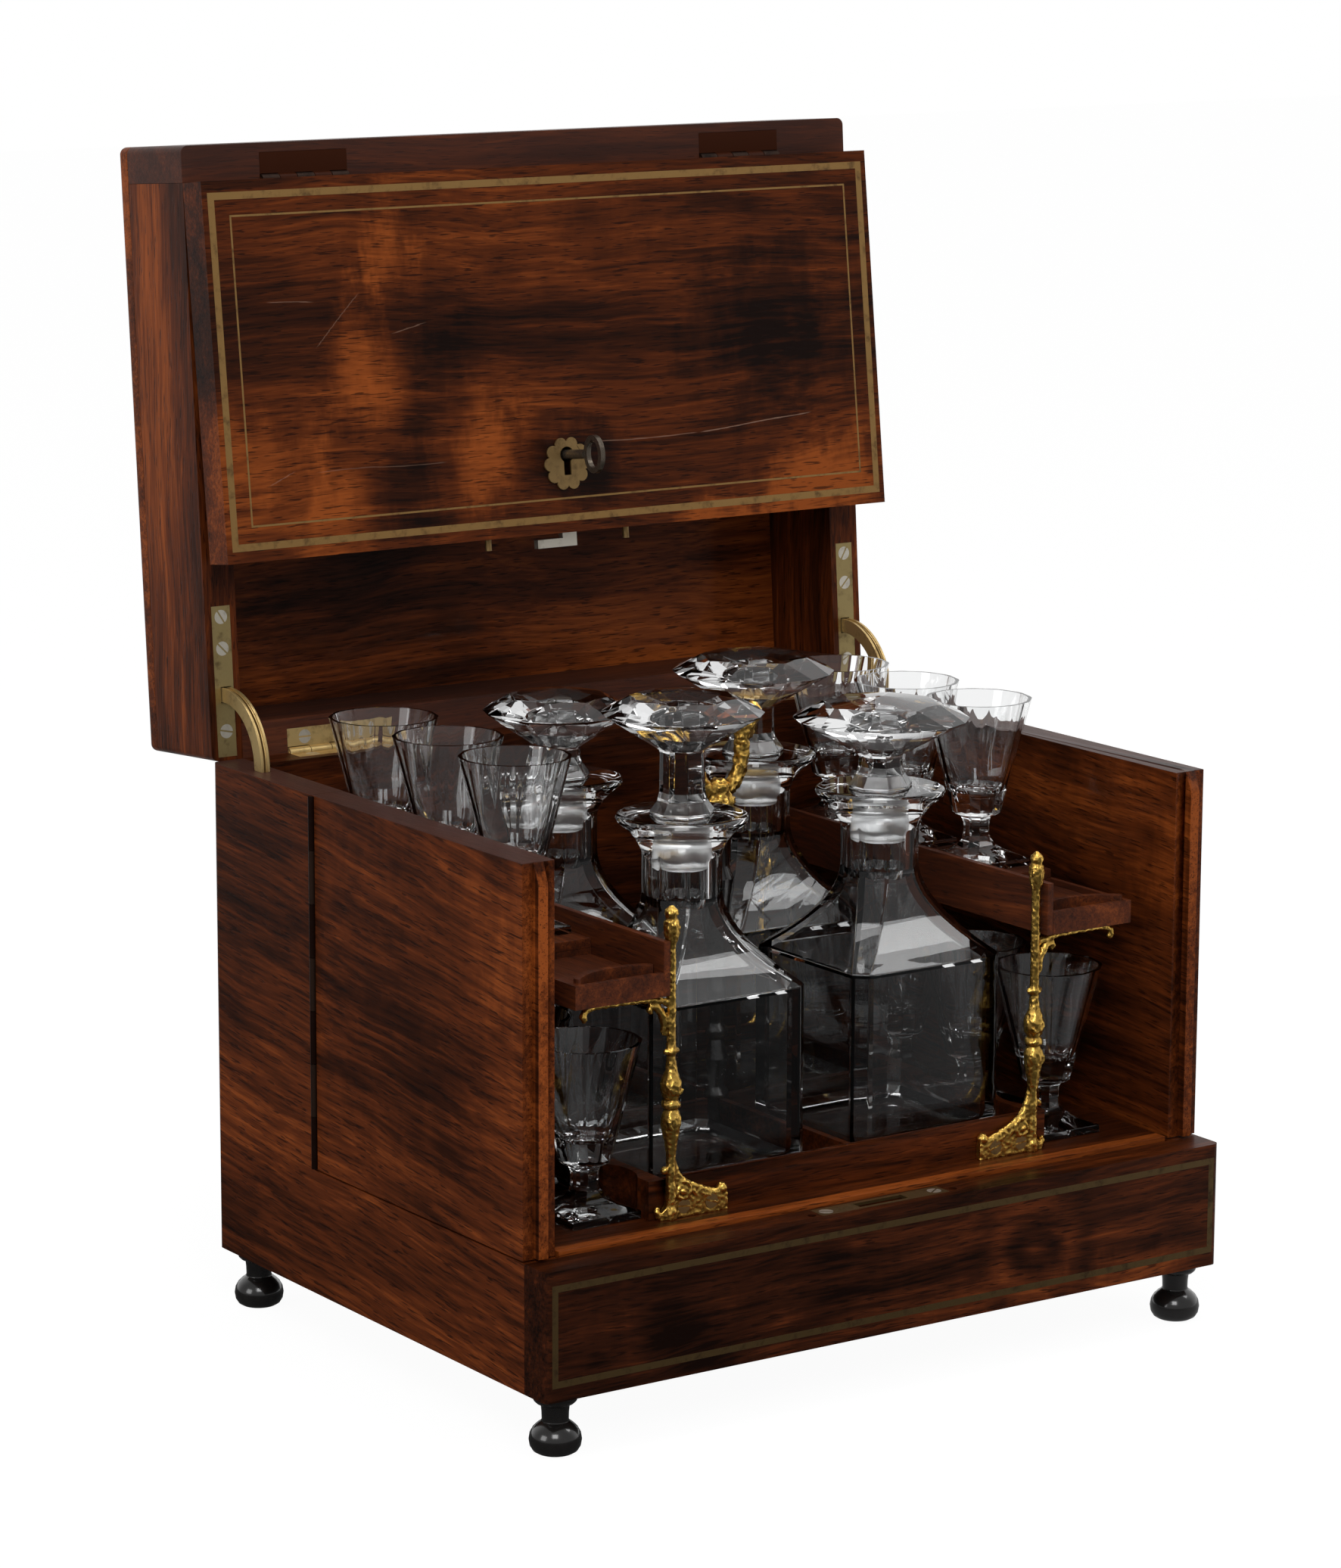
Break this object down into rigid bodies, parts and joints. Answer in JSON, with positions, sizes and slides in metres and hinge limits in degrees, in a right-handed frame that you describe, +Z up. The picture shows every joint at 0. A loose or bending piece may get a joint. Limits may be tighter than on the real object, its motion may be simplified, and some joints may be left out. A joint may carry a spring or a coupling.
{
  "type": "liqueur cabinet",
  "caption": "Rosewood liqueur cabinet with a raised lid and hanging front flap, opening side doors and a lift-out carrier of decanters and cordial glasses.",
  "frame": {"origin": "on the surface it stands on, at the middle of the whole width and of the whole depth with the lid open", "axes": "-Y is the front, +X the right hand side seen from the front, +Z up"},
  "size_m": [0.333, 0.3224, 0.4788],
  "materials": {
    "rosewood": "french polished rosewood veneer",
    "ebonised_wood": "glossy black ebonised turning",
    "brass": "aged brass",
    "gilt_bronze": "gilt cast bronze",
    "steel": "worn steel",
    "crystal": "clear cut crystal"
  },
  "bodies": {
    "case": {"side_panels": "rosewood", "plinth_front": "rosewood", "back_panel": "rosewood", "base_board": "rosewood", "inner_floor": "rosewood", "plinth_band": "brass", "strike_plate": "brass", "case_screws": "steel", "feet": "ebonised_wood", "case_hinge_leaves": "brass"},
    "lid": {"lid_top_board": "rosewood", "lid_front_rail": "rosewood", "lid_rear_rail": "rosewood", "lid_side_rails": "rosewood", "lid_hinge_leaves": "brass", "lid_screws": "steel", "stay_plates": "brass"},
    "flap": {"flap_board": "rosewood", "flap_stringing": "brass", "escutcheon": "brass", "lock_case": "brass", "flap_hinge_leaves": "brass"},
    "lock_hook": {"lock_hook": "steel"},
    "key": {"key": "steel"},
    "stay_left": {"stay_left": "brass"},
    "stay_right": {"stay_right": "brass"},
    "door_left": {"door_left": "rosewood", "door_hinge_leaf_left": "brass"},
    "door_right": {"door_right": "rosewood", "door_hinge_leaf_right": "brass"},
    "carrier": {"carrier_base": "rosewood", "carrier_rails": "rosewood", "tray_boards": "rosewood", "tray_rails": "rosewood", "gilt_supports": "gilt_bronze", "support_screws": "steel", "column": "ebonised_wood", "handle": "gilt_bronze"},
    "lower_glass_left_1": {"lower_glass_left_1": "crystal"},
    "lower_glass_left_2": {"lower_glass_left_2": "crystal"},
    "upper_glass_left_2": {"upper_glass_left_2": "crystal"},
    "lower_glass_left_3": {"lower_glass_left_3": "crystal"},
    "upper_glass_left_3": {"upper_glass_left_3": "crystal"},
    "lower_glass_left_4": {"lower_glass_left_4": "crystal"},
    "upper_glass_left_4": {"upper_glass_left_4": "crystal"},
    "lower_glass_right_1": {"lower_glass_right_1": "crystal"},
    "lower_glass_right_2": {"lower_glass_right_2": "crystal"},
    "upper_glass_right_2": {"upper_glass_right_2": "crystal"},
    "lower_glass_right_3": {"lower_glass_right_3": "crystal"},
    "upper_glass_right_3": {"upper_glass_right_3": "crystal"},
    "lower_glass_right_4": {"lower_glass_right_4": "crystal"},
    "upper_glass_right_4": {"upper_glass_right_4": "crystal"},
    "decanter_front_left": {"decanter_front_left": "crystal"},
    "stopper_front_left": {"stopper_front_left": "crystal"},
    "decanter_front_right": {"decanter_front_right": "crystal"},
    "stopper_front_right": {"stopper_front_right": "crystal"},
    "decanter_back_left": {"decanter_back_left": "crystal"},
    "stopper_back_left": {"stopper_back_left": "crystal"},
    "decanter_back_right": {"decanter_back_right": "crystal"},
    "stopper_back_right": {"stopper_back_right": "crystal"}
  },
  "joints": [
    {"name": "lid_hinge", "type": "hinge", "parent": "case", "child": "lid", "pos_m": [0, 0.08881, 0.2295], "axis": [-1, 0, 0], "range_deg": [-50, 0]},
    {"name": "stay_left_swing", "type": "hinge", "parent": "case", "child": "stay_left", "pos_m": [0, 0.08881, 0.2295], "axis": [-1, 0, 0], "range_deg": [-25, 0]},
    {"name": "stay_right_swing", "type": "hinge", "parent": "case", "child": "stay_right", "pos_m": [0, 0.08881, 0.2295], "axis": [-1, 0, 0], "range_deg": [-25, 0]},
    {"name": "flap_hinge", "type": "hinge", "parent": "lid", "child": "flap", "pos_m": [0, 0.10643, 0.46384], "axis": [1, 0, 0], "range_deg": [-87.47, 0]},
    {"name": "key_turn", "type": "hinge", "parent": "flap", "child": "key", "pos_m": [0, 0.07715, 0.34548], "axis": [0, -0.9929, 0.1189], "range_deg": [0, 180]},
    {"name": "hook_throw", "type": "slide", "parent": "flap", "child": "lock_hook", "axis": [-1, 0, 0], "range_m": [0, 0.0075]},
    {"name": "door_left_hinge", "type": "hinge", "parent": "case", "child": "door_left", "pos_m": [-0.165, 0.00881, 0.1525], "axis": [0, 0, -1], "range_deg": [0, 95]},
    {"name": "door_right_hinge", "type": "hinge", "parent": "case", "child": "door_right", "pos_m": [0.165, 0.00881, 0.1525], "axis": [0, 0, 1], "range_deg": [0, 95]},
    {"name": "carrier_lift", "type": "slide", "parent": "case", "child": "carrier", "axis": [0, 0, 1], "range_m": [0, 0.165]},
    {"name": "lower_glass_left_1_lift", "type": "slide", "parent": "carrier", "child": "lower_glass_left_1", "axis": [0, 0, 1], "range_m": [0, 0.012]},
    {"name": "lower_glass_left_2_lift", "type": "slide", "parent": "carrier", "child": "lower_glass_left_2", "axis": [0, 0, 1], "range_m": [0, 0.012]},
    {"name": "upper_glass_left_2_lift", "type": "slide", "parent": "carrier", "child": "upper_glass_left_2", "axis": [0, 0, 1], "range_m": [0, 0.08]},
    {"name": "lower_glass_left_3_lift", "type": "slide", "parent": "carrier", "child": "lower_glass_left_3", "axis": [0, 0, 1], "range_m": [0, 0.012]},
    {"name": "upper_glass_left_3_lift", "type": "slide", "parent": "carrier", "child": "upper_glass_left_3", "axis": [0, 0, 1], "range_m": [0, 0.08]},
    {"name": "lower_glass_left_4_lift", "type": "slide", "parent": "carrier", "child": "lower_glass_left_4", "axis": [0, 0, 1], "range_m": [0, 0.012]},
    {"name": "upper_glass_left_4_lift", "type": "slide", "parent": "carrier", "child": "upper_glass_left_4", "axis": [0, 0, 1], "range_m": [0, 0.08]},
    {"name": "lower_glass_right_1_lift", "type": "slide", "parent": "carrier", "child": "lower_glass_right_1", "axis": [0, 0, 1], "range_m": [0, 0.012]},
    {"name": "lower_glass_right_2_lift", "type": "slide", "parent": "carrier", "child": "lower_glass_right_2", "axis": [0, 0, 1], "range_m": [0, 0.012]},
    {"name": "upper_glass_right_2_lift", "type": "slide", "parent": "carrier", "child": "upper_glass_right_2", "axis": [0, 0, 1], "range_m": [0, 0.08]},
    {"name": "lower_glass_right_3_lift", "type": "slide", "parent": "carrier", "child": "lower_glass_right_3", "axis": [0, 0, 1], "range_m": [0, 0.012]},
    {"name": "upper_glass_right_3_lift", "type": "slide", "parent": "carrier", "child": "upper_glass_right_3", "axis": [0, 0, 1], "range_m": [0, 0.08]},
    {"name": "lower_glass_right_4_lift", "type": "slide", "parent": "carrier", "child": "lower_glass_right_4", "axis": [0, 0, 1], "range_m": [0, 0.012]},
    {"name": "upper_glass_right_4_lift", "type": "slide", "parent": "carrier", "child": "upper_glass_right_4", "axis": [0, 0, 1], "range_m": [0, 0.08]},
    {"name": "decanter_front_left_lift", "type": "slide", "parent": "carrier", "child": "decanter_front_left", "axis": [0, 0, 1], "range_m": [0, 0.115]},
    {"name": "stopper_front_left_lift", "type": "slide", "parent": "decanter_front_left", "child": "stopper_front_left", "axis": [0, 0, 1], "range_m": [0, 0.05]},
    {"name": "decanter_front_right_lift", "type": "slide", "parent": "carrier", "child": "decanter_front_right", "axis": [0, 0, 1], "range_m": [0, 0.115]},
    {"name": "stopper_front_right_lift", "type": "slide", "parent": "decanter_front_right", "child": "stopper_front_right", "axis": [0, 0, 1], "range_m": [0, 0.05]},
    {"name": "decanter_back_left_lift", "type": "slide", "parent": "carrier", "child": "decanter_back_left", "axis": [0, 0, 1], "range_m": [0, 0.115]},
    {"name": "stopper_back_left_lift", "type": "slide", "parent": "decanter_back_left", "child": "stopper_back_left", "axis": [0, 0, 1], "range_m": [0, 0.05]},
    {"name": "decanter_back_right_lift", "type": "slide", "parent": "carrier", "child": "decanter_back_right", "axis": [0, 0, 1], "range_m": [0, 0.115]},
    {"name": "stopper_back_right_lift", "type": "slide", "parent": "decanter_back_right", "child": "stopper_back_right", "axis": [0, 0, 1], "range_m": [0, 0.05]}
  ],
  "couplings": [
    {"joint": "stay_left_swing", "follows": "lid_hinge", "ratio": 0.5},
    {"joint": "stay_right_swing", "follows": "lid_hinge", "ratio": 0.5},
    {"joint": "key_turn", "follows": "hook_throw", "rad_per_m": 418.88}
  ]
}
